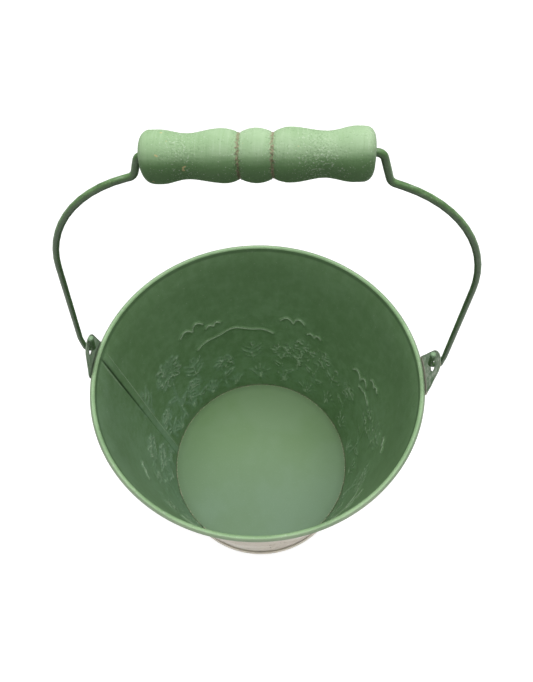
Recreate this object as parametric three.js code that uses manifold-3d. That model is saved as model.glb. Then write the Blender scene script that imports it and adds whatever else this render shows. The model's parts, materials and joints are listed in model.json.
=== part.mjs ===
// Small painted sheet-steel pail with a wire bail and a turned wooden grip.
// Millimetres, +Z up. The origin is the centre of the foot, on the ground. The ears stand on the X axis.
import * as THREE from "three";
import { mergeVertices } from "three/addons/utils/BufferGeometryUtils.js";
import Module from "manifold-3d";

// Pail body: a cone of sheet steel, curled outwards over a wire at the rim and curled under at the foot.
const RIM_OUTER_R = 100;
const RIM_CENTRE_Z = 187;
const RIM_CURL_R = 1.5;
const RIM_CURL_END = -120; // degrees, where the sheet's edge comes back in under the rim wire
const FOOT_OUTER_R = 75.2;
const FOOT_CURL_R = 1.1;
const FOOT_FLAT = 0.8;
const FOOT_CURL_END = 480; // degrees, past the top of the curl and back in towards the wall
const SHEET = 0.5;
const FLOOR_Z = 22.4;
const FLOOR_FLANGE = 4.5; // height of the flange inside the wall
const FLOOR_CORNER_R = 1.4;
const RIM_WIRE_R = 0.7;

// Lock seam: the folded strip that closes the cone, on the inside below the left ear.
const SEAM_WIDTH = 6;
const SEAM_PROUD = 0.9;
const SEAM_TURN = THREE.MathUtils.degToRad(177.4);
const SEAM_BELOW_RIM = 3;

// Ears: shield-shaped plates that step out round the rim curl. Each has its own outward lean.
const EAR_SHEET = 0.8;
const EAR_HALF_WIDTH = 13;
const EAR_TOP_R = 8;
const EAR_TOP_DEPTH = 13.5;
const EAR_FOOT_R = 9;
const EAR_FOOT_DEPTH = 14;
const EAR_REACH = 40; // depth of the punch, which passes right through the plate
const EAR_SKIRT_TOP = -4.2; // below this height, from the rim's centre line, the plate lies on the wall
const EAR_SKIRT_END = -26;
const EAR_STEP_TOP = -1.4; // and from here up it stands outside the rim curl
const EAR_ARC_STEP = 15;
const EAR_HOLE_R = 3.2;
const EAR_HOLE_HEIGHT = 11.4;
const RIGHT_EAR_LEAN = THREE.MathUtils.degToRad(7.5);
const LEFT_EAR_LEAN = THREE.MathUtils.degToRad(-8);

// Bail: one wire, bent by hand, so its two sides differ a little.
const WIRE_R = 1.45;
const WIRE_WIDE_BEND = 40; // bends wider than this are cut finer
const WIRE_WIDE_STEP = 5;
const WIRE_TIGHT_STEP = 15;
const WIRE_CURVE_SEGMENTS = 6;
const PIVOT_Z = RIM_CENTRE_Z + 12.8;

// Grip: turned wood, bored lengthwise, hanging a little low and tilted on the wire.
const GRIP_LENGTH = 81.4;
const GRIP_BORE_R = 2.5;
const GRIP_BORE_MOUTH_R = 3.9;
const GRIP_BORE_MOUTH_DEPTH = 1;
const GRIP_CENTRE = new THREE.Vector3(2.3, 0, 136.47);
const GRIP_TILT = THREE.MathUtils.degToRad(3.2);
const GRIP_ROUND = 32;
const GRIP_SIDE_STEPS = 16;
const GRIP_END_STEPS = 4;

// Clearance kept between neighbouring pieces, and how finely round shapes are cut.
const GAP = 0.3;
const ROUND = 72;
const ARC_STEP = 30;
const WELD = 1e-4; // vertices nearer than this are one

const wasm = await Module();
wasm.setup();

// --- Solids -------------------------------------------------------------------------------------

function toManifold(geometry) {
  const bare = geometry.clone();
  bare.deleteAttribute("normal");
  bare.deleteAttribute("uv");
  const merged = mergeVertices(bare, WELD);
  return new wasm.Manifold(
    new wasm.Mesh({
      numProp: 3,
      vertProperties: new Float32Array(merged.attributes.position.array),
      triVerts: new Uint32Array(merged.index.array),
    }),
  );
}

function toGeometry(solid) {
  const mesh = solid.getMesh();
  const geometry = new THREE.BufferGeometry();
  geometry.setAttribute("position", new THREE.BufferAttribute(mesh.vertProperties, 3));
  geometry.setIndex(new THREE.BufferAttribute(mesh.triVerts, 1));
  geometry.computeVertexNormals();
  return geometry;
}

// Points of an arc in a plane, from angle a to angle b in degrees, about (x, y).
function arc(x, y, radius, a, b, step = ARC_STEP) {
  const steps = Math.max(1, Math.round(Math.abs(b - a) / step));
  const points = [];
  for (let i = 0; i <= steps; i++) {
    const angle = THREE.MathUtils.degToRad(a + ((b - a) * i) / steps);
    points.push(new THREE.Vector2(x + radius * Math.cos(angle), y + radius * Math.sin(angle)));
  }
  return points;
}

// Turns a closed outline of (radius, height) points about the Z axis. The outline runs anticlockwise.
function turned(outline, segments = ROUND) {
  const closed = outline.concat(outline[0].clone());
  return new THREE.LatheGeometry(closed, segments).rotateX(Math.PI / 2);
}

// --- Pail body ----------------------------------------------------------------------------------

const footInner = FOOT_OUTER_R - FOOT_FLAT - 2 * FOOT_CURL_R;
const rimInner = RIM_OUTER_R - 2 * RIM_CURL_R;
const taper = (rimInner - footInner) / (RIM_CENTRE_Z - FOOT_CURL_R);
const wallAngle = Math.atan(taper);

// Radius of the wall's inner face at a height.
const wallInner = (z) => footInner + taper * (z - FOOT_CURL_R);

// One face of the sheet at the foot: down round the inner corner, along the flat, up round the curl.
function footCurl(radius) {
  const innerCorner = footInner + FOOT_CURL_R;
  const outerCorner = innerCorner + FOOT_FLAT;
  const down = arc(innerCorner, FOOT_CURL_R, radius, 180 - THREE.MathUtils.radToDeg(wallAngle), 270);
  const up = arc(outerCorner, FOOT_CURL_R, radius, 270, FOOT_CURL_END);
  return [...down, ...up];
}

// One face of the sheet at the rim: over the top of the rim wire and back in under it.
function rimCurl(radius) {
  const start = 180 - THREE.MathUtils.radToDeg(wallAngle);
  return arc(rimInner + RIM_CURL_R, RIM_CENTRE_Z, radius, start, RIM_CURL_END);
}

function wallOutline() {
  const innerFace = [...footCurl(FOOT_CURL_R).reverse(), ...rimCurl(RIM_CURL_R)];
  const outerFace = [...rimCurl(RIM_CURL_R - SHEET).reverse(), ...footCurl(FOOT_CURL_R - SHEET)];
  return [...innerFace, ...outerFace].reverse();
}

// The seam strip lies on the cone, sunk half into the sheet so that the two join.
function seamSolid() {
  const bottom = FLOOR_Z + GAP;
  const top = RIM_CENTRE_Z - SEAM_BELOW_RIM;
  const middle = (bottom + top) / 2;
  const length = (top - bottom) / Math.cos(wallAngle);
  const depth = SEAM_PROUD + SHEET / 2;
  const strip = new THREE.BoxGeometry(depth, SEAM_WIDTH, length);
  strip.rotateY(wallAngle);
  strip.translate(wallInner(middle) + SHEET / 2 - depth / 2, 0, middle);
  strip.rotateZ(SEAM_TURN);
  return toManifold(strip);
}

function pailWall() {
  return toGeometry(toManifold(turned(wallOutline())).add(seamSolid()));
}

function rimWire() {
  return turned(arc(rimInner + RIM_CURL_R, RIM_CENTRE_Z, RIM_WIRE_R, 0, 360 - ARC_STEP));
}

// A pressed pan: flat floor, rounded corner and a flange that fits down inside the wall.
function baseDisc() {
  const flangeZ = FLOOR_Z - FLOOR_FLANGE;
  const flangeFoot = wallInner(flangeZ) - GAP;
  const cornerZ = FLOOR_Z - FLOOR_CORNER_R;
  const cornerR = wallInner(cornerZ) - GAP - FLOOR_CORNER_R;
  const outline = [
    new THREE.Vector2(0, FLOOR_Z - SHEET),
    ...arc(cornerR, cornerZ, FLOOR_CORNER_R - SHEET, 90, 0),
    new THREE.Vector2(flangeFoot - SHEET, flangeZ),
    new THREE.Vector2(flangeFoot, flangeZ),
    ...arc(cornerR, cornerZ, FLOOR_CORNER_R, 0, 90),
    new THREE.Vector2(0, FLOOR_Z),
  ];
  return new THREE.LatheGeometry(outline, ROUND).rotateX(Math.PI / 2);
}

// --- Ears ---------------------------------------------------------------------------------------

// Side view of an ear: distance out and height above the rim's centre line, inner face then outer face.
function earProfile(lean) {
  const out = RIM_OUTER_R + GAP;
  const onWall = (z) => wallInner(RIM_CENTRE_Z + z) + SHEET + GAP;
  const top = EAR_TOP_DEPTH + 2 * EAR_TOP_R;
  const bendZ = RIM_CURL_R;
  const leanAt = (z) => out + (z - bendZ) * Math.tan(lean);
  const inner = [
    [onWall(EAR_SKIRT_END), EAR_SKIRT_END],
    [onWall(EAR_SKIRT_TOP), EAR_SKIRT_TOP],
    [out, EAR_STEP_TOP],
    [out, bendZ],
    [leanAt(top), top],
  ];
  const outer = inner.map(([r, z]) => [r + EAR_SHEET, z]).reverse();
  return [...inner, ...outer].map(([r, z]) => new THREE.Vector2(r, RIM_CENTRE_Z + z));
}

// Angle in degrees at which a side from (half width, 0) runs tangent onto an end circle.
function tangentAngle(centreHeight, radius) {
  const along = Math.atan2(centreHeight, EAR_HALF_WIDTH);
  const across = Math.acos(radius / Math.hypot(EAR_HALF_WIDTH, centreHeight));
  return THREE.MathUtils.radToDeg(across - along);
}

// Front view of an ear: a rounded top, its widest point at the rim and a rounded foot.
function earFront() {
  const top = tangentAngle(EAR_TOP_DEPTH, EAR_TOP_R);
  const foot = tangentAngle(EAR_FOOT_DEPTH, EAR_FOOT_R);
  const shape = new THREE.Shape([
    new THREE.Vector2(EAR_HALF_WIDTH, 0),
    ...arc(0, EAR_TOP_DEPTH, EAR_TOP_R, top, 180 - top, EAR_ARC_STEP),
    new THREE.Vector2(-EAR_HALF_WIDTH, 0),
    ...arc(0, -EAR_FOOT_DEPTH, EAR_FOOT_R, 180 + foot, 360 - foot, EAR_ARC_STEP),
  ]);
  const hole = arc(0, EAR_HOLE_HEIGHT, EAR_HOLE_R, 0, 360 - EAR_ARC_STEP, EAR_ARC_STEP);
  shape.holes.push(new THREE.Path(hole));
  const prism = new THREE.ExtrudeGeometry(shape, { depth: EAR_REACH, bevelEnabled: false });
  const x = new THREE.Vector3(1, 0, 0);
  const y = new THREE.Vector3(0, 1, 0);
  const z = new THREE.Vector3(0, 0, 1);
  prism.applyMatrix4(new THREE.Matrix4().makeBasis(y, z, x));
  return prism.translate(RIM_OUTER_R - EAR_REACH / 2, 0, RIM_CENTRE_Z);
}

function ear(lean, turn) {
  const ring = toManifold(turned(earProfile(lean).reverse()));
  const plate = ring.intersect(toManifold(earFront()));
  return toGeometry(plate).rotateZ(turn);
}

// --- Bail and grip ------------------------------------------------------------------------------

// A wire bent in the XZ plane: straight runs joined by round bends. Each corner is [x, z, bend radius],
// and a bend is cut into equal steps.
class BentWire extends THREE.Curve {
  constructor(corners) {
    super();
    this.stations = [];
    const at = corners.map(([x, z]) => new THREE.Vector3(x, 0, z));
    const last = corners.length - 1;
    for (let i = 0; i <= last; i++) {
      const before = at[i].clone().sub(at[Math.max(i - 1, 0)]).normalize();
      const after = at[Math.min(i + 1, last)].clone().sub(at[i]).normalize();
      if (i === 0 || i === last) {
        this.stations.push({ point: at[i], along: i === 0 ? after : before });
      } else {
        this.bend(at[i], before, after, corners[i][2]);
      }
    }
  }
  bend(corner, before, after, radius) {
    const angle = before.angleTo(after);
    const inward = after.clone().sub(before).normalize();
    const centre = corner.clone().addScaledVector(inward, radius / Math.cos(angle / 2));
    const axis = before.clone().cross(after).normalize();
    const start = corner.clone().addScaledVector(before, -radius * Math.tan(angle / 2)).sub(centre);
    const step = radius > WIRE_WIDE_BEND ? WIRE_WIDE_STEP : WIRE_TIGHT_STEP;
    const steps = Math.ceil(THREE.MathUtils.radToDeg(angle) / step);
    for (let k = 0; k <= steps; k++) {
      const turn = (angle * k) / steps;
      this.stations.push({
        point: start.clone().applyAxisAngle(axis, turn).add(centre),
        along: before.clone().applyAxisAngle(axis, turn),
      });
    }
  }
  station(u) {
    return this.stations[Math.round(u * (this.stations.length - 1))];
  }
  getPoint(u) {
    return this.station(u).point.clone();
  }
  getPointAt(u) {
    return this.getPoint(u);
  }
  getTangentAt(u) {
    return this.station(u).along.clone();
  }
}

// Corners of the bail from the left stub to the right one, measured from the pivot axis.
const BAIL_CORNERS = [
  [-95.35, 11],
  [-96.8, 0, 2],
  [-101.5, 0, 2],
  [-101.4, 11, 12],
  [-85.1, 112.4, 66],
  [-43.6, 125.9, 4.5],
  [-40.4, 134.8, 3],
  [45.9, 139.6, 3.5],
  [50.9, 127.4, 4.5],
  [97.2, 111.7, 66],
  [105.5, 9.5, 16],
  [105.5, 0, 2],
  [100, 0, 2],
  [98.85, 11],
];

function bailWire() {
  const path = new BentWire(BAIL_CORNERS);
  const section = new THREE.Shape();
  section.absarc(0, 0, WIRE_R, 0, 2 * Math.PI, false);
  return new THREE.ExtrudeGeometry(section, {
    steps: path.stations.length - 1,
    extrudePath: path,
    curveSegments: WIRE_CURVE_SEGMENTS,
  });
}

// Distance from the grip's middle and radius at each high and low of the turning.
const GRIP_TURNING = [
  [0, 9.15],
  [5.9, 7.7],
  [11.6, 9.15],
  [24.1, 7.7],
  [34.8, 9.15],
];
const GRIP_END = { start: 37, faceR: 5.4 };

// The two V-grooves are sharp, so the curve meets them at a slope. Elsewhere it is level at both ends.
function turningRadius(distance) {
  const span = GRIP_TURNING.findIndex(([d]) => d > distance);
  if (span < 0) {
    return GRIP_TURNING[GRIP_TURNING.length - 1][1];
  }
  const [d0, r0] = GRIP_TURNING[span - 1];
  const [d1, r1] = GRIP_TURNING[span];
  const t = (distance - d0) / (d1 - d0);
  if (span === 1) {
    return r1 + (r0 - r1) * Math.cos((t * Math.PI) / 2);
  }
  if (span === 2) {
    return r0 + (r1 - r0) * Math.sin((t * Math.PI) / 2);
  }
  return r0 + ((r1 - r0) * (1 - Math.cos(t * Math.PI))) / 2;
}

function gripHalf() {
  const half = GRIP_LENGTH / 2;
  const endR = turningRadius(GRIP_END.start);
  const outline = [];
  for (let i = 0; i <= GRIP_SIDE_STEPS; i++) {
    const distance = (GRIP_END.start * i) / GRIP_SIDE_STEPS;
    outline.push(new THREE.Vector2(turningRadius(distance), distance));
  }
  for (let i = 1; i <= GRIP_END_STEPS; i++) {
    const turn = (i * Math.PI) / (2 * GRIP_END_STEPS);
    const radius = GRIP_END.faceR + (endR - GRIP_END.faceR) * Math.cos(turn);
    outline.push(new THREE.Vector2(radius, GRIP_END.start + (half - GRIP_END.start) * Math.sin(turn)));
  }
  outline.push(new THREE.Vector2(GRIP_BORE_MOUTH_R, half));
  outline.push(new THREE.Vector2(GRIP_BORE_R, half - GRIP_BORE_MOUTH_DEPTH));
  return outline;
}

function gripSolid() {
  const upper = gripHalf();
  const lower = upper.slice(1).map((p) => new THREE.Vector2(p.x, -p.y));
  const outline = [...lower.reverse(), ...upper];
  const grip = turned(outline, GRIP_ROUND);
  grip.rotateY(Math.PI / 2 - GRIP_TILT);
  return grip.translate(GRIP_CENTRE.x, 0, GRIP_CENTRE.z);
}

// --- Assembly -----------------------------------------------------------------------------------

const WALL_GREEN = 0x6f8f6a;
const FLOOR_GREEN = 0x87a582;
const EAR_GREEN = 0x7d9a7a;
const WIRE_GREEN = 0x5f8058;
const GRIP_GREEN = 0x8fb285;
const BARE_STEEL = 0x9a9a96;

const paint = (color, roughness, metalness) =>
  new THREE.MeshStandardMaterial({ color, roughness, metalness });

function piece(name, geometry, material) {
  const mesh = new THREE.Mesh(geometry, material);
  mesh.name = name;
  return mesh;
}

const pail = new THREE.Group();
pail.add(
  piece("pail_wall", pailWall(), paint(WALL_GREEN, 0.55, 0.2)),
  piece("rim_wire", rimWire(), paint(BARE_STEEL, 0.45, 0.9)),
  piece("base_disc", baseDisc(), paint(FLOOR_GREEN, 0.5, 0.2)),
  piece("right_ear", ear(RIGHT_EAR_LEAN, 0), paint(EAR_GREEN, 0.6, 0.2)),
  piece("left_ear", ear(LEFT_EAR_LEAN, Math.PI), paint(EAR_GREEN, 0.6, 0.2)),
);

const bail = new THREE.Group();
bail.position.z = PIVOT_Z;
bail.add(
  piece("bail_wire", bailWire(), paint(WIRE_GREEN, 0.5, 0.3)),
  piece("grip", gripSolid(), paint(GRIP_GREEN, 0.7, 0)),
);

const bucket = new THREE.Group();
bucket.add(pail, bail);
export default bucket;
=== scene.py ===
# %% [markdown]
# # A painted steel pail
#
# This lesson dresses a small sheet-steel pail: a cone of thin steel with a rolled rim, a pressed floor,
# two ears, a wire bail and a turned wooden grip. Another program has already made a plain, exact model of
# it that can move. Here that model is the frame: it says how big everything is and where it goes, and each
# piece is made again on it with the fine shape and the paint that a hand would feel and an eye would see.

import json
import math

import bpy
import numpy as np
from mathutils import Matrix, Vector


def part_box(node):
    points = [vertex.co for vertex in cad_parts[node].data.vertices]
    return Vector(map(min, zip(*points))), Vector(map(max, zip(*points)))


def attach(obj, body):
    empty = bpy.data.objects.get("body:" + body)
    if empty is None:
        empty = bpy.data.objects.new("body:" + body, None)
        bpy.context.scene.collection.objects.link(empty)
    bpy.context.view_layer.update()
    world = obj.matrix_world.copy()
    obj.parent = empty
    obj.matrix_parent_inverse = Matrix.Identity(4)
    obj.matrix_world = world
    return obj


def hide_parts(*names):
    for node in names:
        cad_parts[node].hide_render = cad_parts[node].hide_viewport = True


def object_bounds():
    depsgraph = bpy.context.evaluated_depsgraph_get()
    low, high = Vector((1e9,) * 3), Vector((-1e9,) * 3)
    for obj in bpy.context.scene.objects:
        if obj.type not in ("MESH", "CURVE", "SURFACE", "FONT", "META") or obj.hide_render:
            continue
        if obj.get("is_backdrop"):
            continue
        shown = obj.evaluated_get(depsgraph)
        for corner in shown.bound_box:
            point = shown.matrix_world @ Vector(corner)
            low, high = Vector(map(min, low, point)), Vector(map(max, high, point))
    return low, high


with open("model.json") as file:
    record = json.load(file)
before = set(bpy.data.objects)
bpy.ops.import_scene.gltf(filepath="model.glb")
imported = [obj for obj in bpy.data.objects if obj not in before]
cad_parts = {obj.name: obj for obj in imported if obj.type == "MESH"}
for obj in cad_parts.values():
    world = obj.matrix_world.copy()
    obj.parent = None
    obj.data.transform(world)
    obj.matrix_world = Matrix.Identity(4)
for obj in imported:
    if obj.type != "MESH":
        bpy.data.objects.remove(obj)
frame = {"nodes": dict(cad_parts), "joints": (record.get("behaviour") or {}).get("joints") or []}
cad_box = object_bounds()
MM = 0.001
print("the pail fills, in millimetres:", [round(x / MM, 1) for x in (cad_box[1] - cad_box[0])])

# %% [markdown]
# ## Sizes that come from the frame
#
# The rim, the foot and the floor are read off the frame's own corners, so that this file holds no second
# set of sizes that could drift away from it. Only what the frame can't say is a number here: the thickness
# of the sheet and the radii of its two curls.

# %% Read the pail's sizes


def corners(node):
    """All corners of a node of the frame, as rows of x, y, z."""
    return np.array([v.co for v in frame["nodes"][node].data.vertices], float)


def farthest(node, below=math.inf, above=-math.inf):
    """The largest distance from the upright axis, among a node's corners between two heights."""
    points = corners(node)
    kept = points[(points[:, 2] < below) & (points[:, 2] > above)]
    return float(np.hypot(kept[:, 0], kept[:, 1]).max())


SHEET = 0.5 * MM
RIM_CURL = 1.5 * MM
FOOT_CURL = 1.1 * MM
FOOT_FLAT = 0.8 * MM

rim_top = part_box("pail_wall")[1].z
rim_radius = farthest("pail_wall")
rim_centre = rim_top - RIM_CURL
foot_radius = farthest("pail_wall", below=2 * MM)
floor_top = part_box("base_disc")[1].z
pivot = Vector(next(j for j in frame["joints"] if j["name"] == "bail_swing")["pos_m"])
grip_joint = next(j for j in frame["joints"] if j["name"] == "grip_spin")
print(f"rim {2 * rim_radius / MM:.1f} across at {rim_top / MM:.1f}")
print(f"foot {2 * foot_radius / MM:.1f} across")
print(f"floor at {floor_top / MM:.1f}, bail pivot at {pivot.z / MM:.1f}")

# %% [markdown]
# ## One way to make every skin
#
# Every piece of this pail is a grid of points that has been bent into place: rows along it and columns
# round it. A lathe, a curve with a bevel or a screw modifier could each make one of them, but a plain grid
# makes all of them and lets any single point be pushed in or out. The grid may close on itself in either
# direction. An end that doesn't close gets one face as its lid.

# %% A helper that turns a grid of points into a mesh


def skin(name, grid, round_rows=False, marks=None):
    """A mesh from grid[row, column] = (x, y, z). Columns close. Rows close too, or get two lids."""
    rows, columns = grid.shape[:2]
    index = np.arange(rows * columns).reshape(rows, columns)
    lower = index if round_rows else index[:-1]
    upper = np.roll(index, -1, 0) if round_rows else index[1:]
    quads = np.stack([lower, np.roll(lower, -1, 1), np.roll(upper, -1, 1), upper], -1).reshape(-1, 4)
    faces = quads.tolist()
    if not round_rows:
        faces += [index[0, ::-1].tolist(), index[-1].tolist()]
    mesh = bpy.data.meshes.new(name)
    mesh.from_pydata(grid.reshape(-1, 3).tolist(), [], faces)
    mesh.polygons.foreach_set("use_smooth", [len(f) == 4 for f in faces])
    for mark, values in (marks or {}).items():
        layer = mesh.attributes.new(mark, "FLOAT", "POINT")
        everywhere = np.broadcast_to(values, (rows, columns))
        layer.data.foreach_set("value", everywhere.astype(np.float32).ravel())
    mesh.update()
    if volume(mesh) < 0:
        mesh.flip_normals()
    piece = bpy.data.objects.new(name, mesh)
    bpy.context.scene.collection.objects.link(piece)
    print(f"{name}: {len(faces)} faces, {abs(volume(mesh)) / MM**3 / 1000:.1f} cubic centimetres")
    return piece


def volume(mesh):
    """The volume inside a closed mesh. It is negative where the faces point inwards."""
    mesh.calc_loop_triangles()
    points = np.array([v.co for v in mesh.vertices], float)
    a, b, c = (points[[t.vertices[k] for t in mesh.loop_triangles]] for k in range(3))
    return float(np.einsum("ij,ij->i", a, np.cross(b, c)).sum() / 6)


# %% [markdown]
# ## Hand-made unevenness
#
# Nothing on a cheap tin pail is quite true. A sum of a few slow waves with random phases gives a smooth
# wobble that costs nothing and is the same on every run, because its random numbers start from a fixed
# seed.

# %% A smooth random wobble


def wobble(seed, *coordinates, waves=7):
    """Smooth noise from -1 to 1 or so over one or more coordinates. One unit is about one bump."""
    rng = np.random.default_rng(seed)
    total = 0
    for _ in range(waves):
        push = rng.normal(size=len(coordinates)) * 2.2
        phase = rng.uniform(0, 2 * math.pi)
        total = total + np.sin(sum(p * c for p, c in zip(push, coordinates)) + phase)
    return total / math.sqrt(waves)


def bell(x, width):
    """1 where x is 0, fading to nothing about two widths away."""
    return np.exp(-((x / width) ** 2))


def round_about(count):
    """Evenly spaced directions once round, in radians."""
    return np.linspace(0, 2 * math.pi, count, endpoint=False)


print("wobble at three places:", [round(float(wobble(1, x)), 2) for x in (0.0, 0.5, 1.0)])

# %% [markdown]
# ## The outline of the sheet
#
# Cut the pail in half and the wall is one long bent strip 0.5 mm thick. It leans out from the foot to the
# rim, rolls over a wire at the top and curls under at the bottom. The outline goes once round that strip:
# up the inner face, over the bead, back inside the roll, down the outer face and round the foot. Each
# point remembers which paint it wears.

# %% Walk round the outline
INSIDE, BEAD, OUTSIDE = 0, 1, 2
PRESS_BOTTOM, PRESS_TOP = 26 * MM, 136 * MM
ROW_FINE, ROW_COARSE = 0.95 * MM, 4 * MM
BEAD_ROWS, ROLL_ROWS = 17, 9
BEAD_END, FOOT_END = -120, 480  # the directions in which the two curls stop, in degrees

foot_inner = foot_radius - FOOT_FLAT - 2 * FOOT_CURL
rim_inner = rim_radius - 2 * RIM_CURL
taper = (rim_inner - foot_inner) / (rim_centre - FOOT_CURL)
lean = math.atan(taper)


def wall_inner(z):
    """The radius of the wall's inner face at a height."""
    return foot_inner + taper * (z - FOOT_CURL)


def round_bend(radius_to, height, bend, start, end, count):
    """Points on an arc in the plane of the outline, angles in degrees."""
    angles = np.radians(np.linspace(start, end, count))
    return np.stack([radius_to + bend * np.cos(angles), height + bend * np.sin(angles)], 1)


def spaced(start, end, step):
    """Evenly spaced heights from start to end, no further apart than step."""
    return np.linspace(start, end, max(2, math.ceil(abs(end - start) / step) + 1))


turn_in = 180 - math.degrees(lean)
wall_z = np.unique(np.concatenate([
    spaced(FOOT_CURL + 0.3 * MM, PRESS_BOTTOM, ROW_COARSE),
    spaced(PRESS_BOTTOM, PRESS_TOP, ROW_FINE),
    spaced(PRESS_TOP, rim_centre - 0.6 * MM, ROW_COARSE),
]))
face = np.stack([wall_inner(wall_z), wall_z], 1)
through = np.array([math.cos(lean), -math.sin(lean)]) * SHEET


def foot_bend(bend, count):
    """The foot from the wall, under the flat, and up round the curl."""
    corner = foot_inner + FOOT_CURL
    down = round_bend(corner, FOOT_CURL, bend, turn_in, 270, count // 3)
    up = round_bend(corner + FOOT_FLAT, FOOT_CURL, bend, 270, FOOT_END, count)
    return np.concatenate([down, up])


stretches = [
    (face, INSIDE),
    (round_bend(rim_inner + RIM_CURL, rim_centre, RIM_CURL, turn_in, BEAD_END, BEAD_ROWS), BEAD),
    (round_bend(rim_inner + RIM_CURL, rim_centre, RIM_CURL - SHEET, BEAD_END, turn_in, ROLL_ROWS), BEAD),
    (face[::-1] + through, OUTSIDE),
    (foot_bend(FOOT_CURL - SHEET, 8), OUTSIDE),
    (foot_bend(FOOT_CURL, 13)[::-1], OUTSIDE),
]
outline = np.concatenate([points for points, _ in stretches])
outline_paint = np.concatenate([np.full(len(points), paint) for points, paint in stretches])
print(f"the outline has {len(outline)} points, {len(wall_z)} of them on each face of the wall")

# %% [markdown]
# ## Pressing the flowers
#
# Before it is rolled, the flat sheet goes under a press that draws flowers on it in raised lines, so the
# same line is a ridge on the inside and a groove on the outside. A height map could do this, but here
# every line is a short path in millimetres on the flat sheet, and a point of the wall rises by how near it
# is to the nearest path. That keeps the drawing as numbers that can be changed one by one.

# %% The drawing tools of the press
def curve(points, steps=10):
    """A smooth path from one point to another, pulled towards the one between them."""
    t = np.linspace(0, 1, steps)[:, None]
    a, b, c = (np.array(p, float) for p in points)
    return (1 - t) ** 2 * a + 2 * t * (1 - t) * b + t**2 * c


def placed(path, at=(0, 0), turn=0):
    """The same path turned by an angle in degrees and then moved."""
    c, s = math.cos(math.radians(turn)), math.sin(math.radians(turn))
    return path @ np.array([[c, s], [-s, c]]) + np.array(at)


def ring(radius, count=14):
    """A circle about the middle."""
    t = np.linspace(0, 2 * math.pi, count)
    return np.stack([radius * np.cos(t), radius * np.sin(t)], 1)


def daisy(size, petals, at, turn=0):
    """A daisy's head: narrow petals of uneven length round a ring, with three seeds in it."""
    eye = 0.28 * size
    t = np.linspace(-1, 1, 9) * math.pi / 2
    paths = [placed(ring(eye), at)]
    for k in range(petals):
        reach = size * (1 - 0.13 * (k % 3 == 1))
        root = eye * 1.3
        petal = np.stack([root + (reach - root) * np.cos(t), reach * 2.2 / petals * np.sin(t)], 1)
        paths.append(placed(petal, at, turn + 360 * k / petals))
    return paths + [placed(ring(0.3, 4) + [eye * 0.45, 0], at, turn + 120 * k) for k in range(3)]


def leaf(length, width, at, turn):
    """A leaf's two edges."""
    t = np.linspace(0, 1, 9)
    edge = np.stack([length * t, width / 2 * np.sin(math.pi * t**0.8)], 1)
    return [placed(p, at, turn) for p in (edge, edge * [1, -0.8])]


def stem(height, sway, leaves):
    """A stem down from a flower's head, with leaves at shares of its height."""
    path = curve([(0, 0), (sway, -0.5 * height), (0.3 * sway, -height)], 14)
    paths = [path]
    for share, side in leaves:
        at = path[int(share * (len(path) - 1))]
        paths += leaf(13, 4.0, at, 90 - side * 48)
    return paths


def flower(size, petals, height, sway, leaves=((0.45, 1), (0.62, -1)), turn=0):
    """A whole daisy, standing on the meadow."""
    return daisy(size, petals, (0, 0), turn) + [p - [0, size] for p in stem(height - size, sway, leaves)]


def tuft(blades, height):
    """A tuft of grass."""
    paths = []
    for k in range(blades):
        spread = (k - (blades - 1) / 2) * 2.6
        tall = height * (1 - 0.07 * abs(spread))
        paths.append(curve([(spread * 0.4, 0), (spread * 0.5, tall * 0.6), (spread * 1.7, tall)], 7))
    return paths


def bird(span):
    """A far-off bird: two wings, one lifted higher than the other."""
    wing = curve([(0, 0), (span * 0.26, span * 0.46), (span * 0.52, span * 0.04)], 7)
    return [wing, placed(wing * [-0.9, 1.15], turn=-9)]


def sprig(height, pairs):
    """A bare stalk with pairs of bent side shoots and a bud on top."""
    stalk = curve([(0, 0), (2.4, height * 0.5), (0, height)], 9)
    shoot = curve([(0, 0), (5, 1.5), (8, 7)], 6)
    paths = [stalk, placed(ring(1.9, 10), (0, height + 2))]
    for k in range(pairs):
        paths += [stalk[2 + 2 * k] + shoot, stalk[2 + 2 * k] + shoot * [-1, 1.1]]
    return paths


print("a daisy with ten petals is", len(daisy(12, 10, (0, 0))), "paths")

# %% [markdown]
# The meadow goes all the way round. Each item is a drawing and its place: the direction that it faces from
# the middle of the pail, in degrees, and its height. The tall daisies stand apart, grass and buds fill the
# gaps, and a hill's line runs behind them.

# %% Lay out the meadow
MEADOW = [
    (flower(15.0, 14, 70, 5), 153, 101),
    (flower(11.0, 11, 46, -4, turn=10), 80, 77),
    (flower(11.0, 11, 52, 5, turn=4), 55, 85),
    (flower(9.5, 10, 36, 4, ((0.4, -1),)), 117, 66),
    (flower(9.5, 10, 46, -4, ((0.5, 1),), 8), 31, 79),
    (flower(12.0, 12, 60, -6, turn=5), 6, 92),
    (flower(11.0, 11, 52, 5), 193, 86),
    (flower(13.0, 13, 64, 6, turn=12), 228, 99),
    (flower(9.5, 10, 42, -4, ((0.5, 1),)), 252, 74),
    (flower(13.0, 13, 62, -5, turn=3), 281, 96),
    (flower(10.0, 11, 46, 4), 308, 78),
    (flower(12.0, 12, 58, 5, turn=9), 334, 94),
    (flower(8.5, 9, 34, 3), 169, 66), (flower(9.0, 10, 36, -3), 190, 60), (flower(8.0, 9, 40, 3), 206, 84),
    (flower(8.0, 9, 30, -3), 141, 60), (flower(8.0, 9, 30, 3), 322, 58), (flower(8.0, 9, 34, 3), 68, 90),
    (sprig(26, 3), 174, 92), (sprig(24, 3), 354, 88), (sprig(22, 3), 98, 60), (sprig(20, 2), 43, 62),
    (sprig(24, 3), 241, 58), (sprig(24, 3), 295, 60), (sprig(22, 3), 67, 58), (sprig(22, 3), 136, 66),
] + [(tuft(4 + k % 2, 15 + 3 * (k % 3)), 8 + 17.2 * k, 30 + 2 * (k % 3)) for k in range(21)]
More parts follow.
